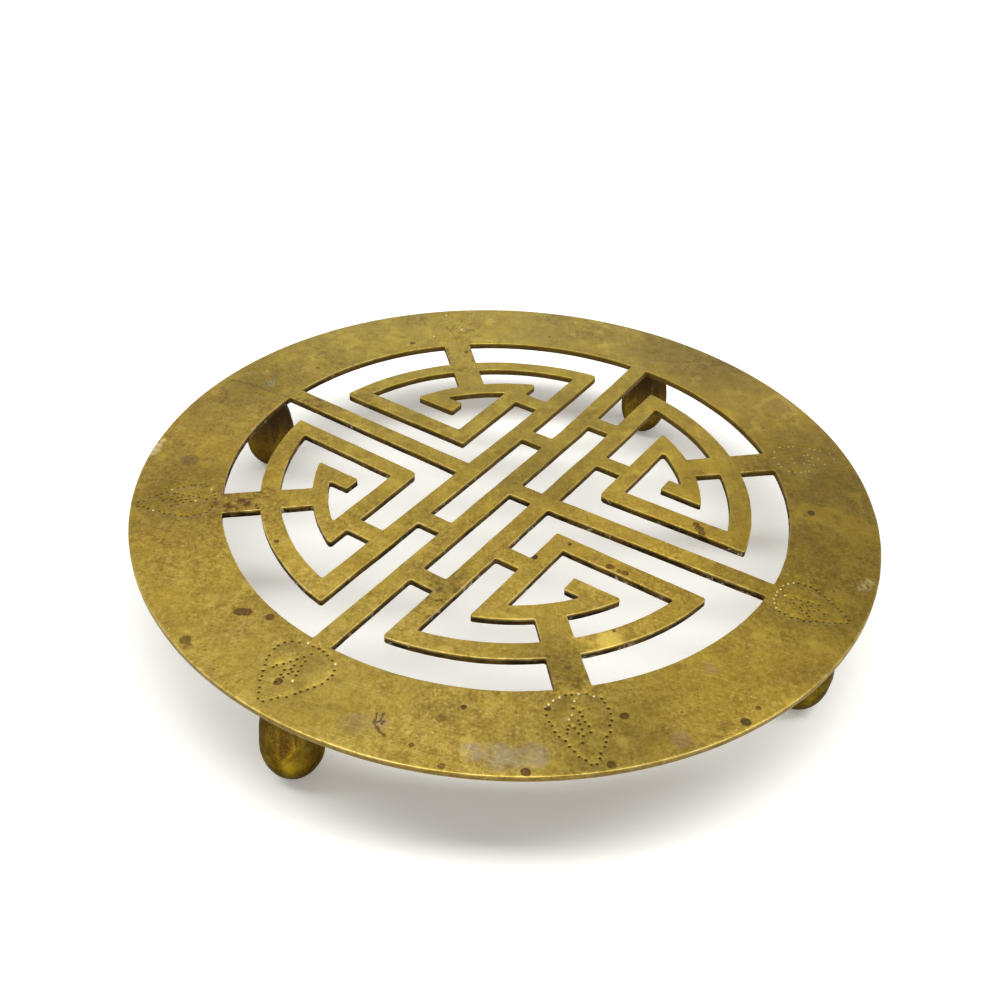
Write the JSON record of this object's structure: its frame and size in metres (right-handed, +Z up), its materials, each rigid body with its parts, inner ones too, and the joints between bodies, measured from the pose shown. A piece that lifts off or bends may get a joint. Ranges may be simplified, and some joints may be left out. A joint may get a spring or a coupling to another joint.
{
  "type": "trivet",
  "caption": "Round footed trivet: a flat sawn brass plate with a geometric fret inside a solid rim, raised on cast bud-shaped feet, to keep hot pots off the table.",
  "frame": {"origin": "on the surface it stands on, under the middle of the round plate", "axes": "+X along the fret's two cross bars to the right foot, +Y along its three upright bars to the back foot, +Z up out of the plate's top"},
  "size_m": [0.18, 0.18, 0.0277],
  "materials": {
    "sheet_brass": "aged, unlacquered, finely scratched, olive yellow with brown spots",
    "cast_brass": "cast and hand filed, dark in the hollows, rubbed bright on the ribs",
    "soft_solder": "dull grey tin and lead solder"
  },
  "bodies": {
    "root": {"pierced_plate": "sheet_brass", "foot_front": "cast_brass", "foot_back": "cast_brass", "foot_left": "cast_brass", "foot_right": "cast_brass", "solder_front": "soft_solder", "solder_back": "soft_solder", "solder_left": "soft_solder", "solder_right": "soft_solder"}
  },
  "joints": []
}
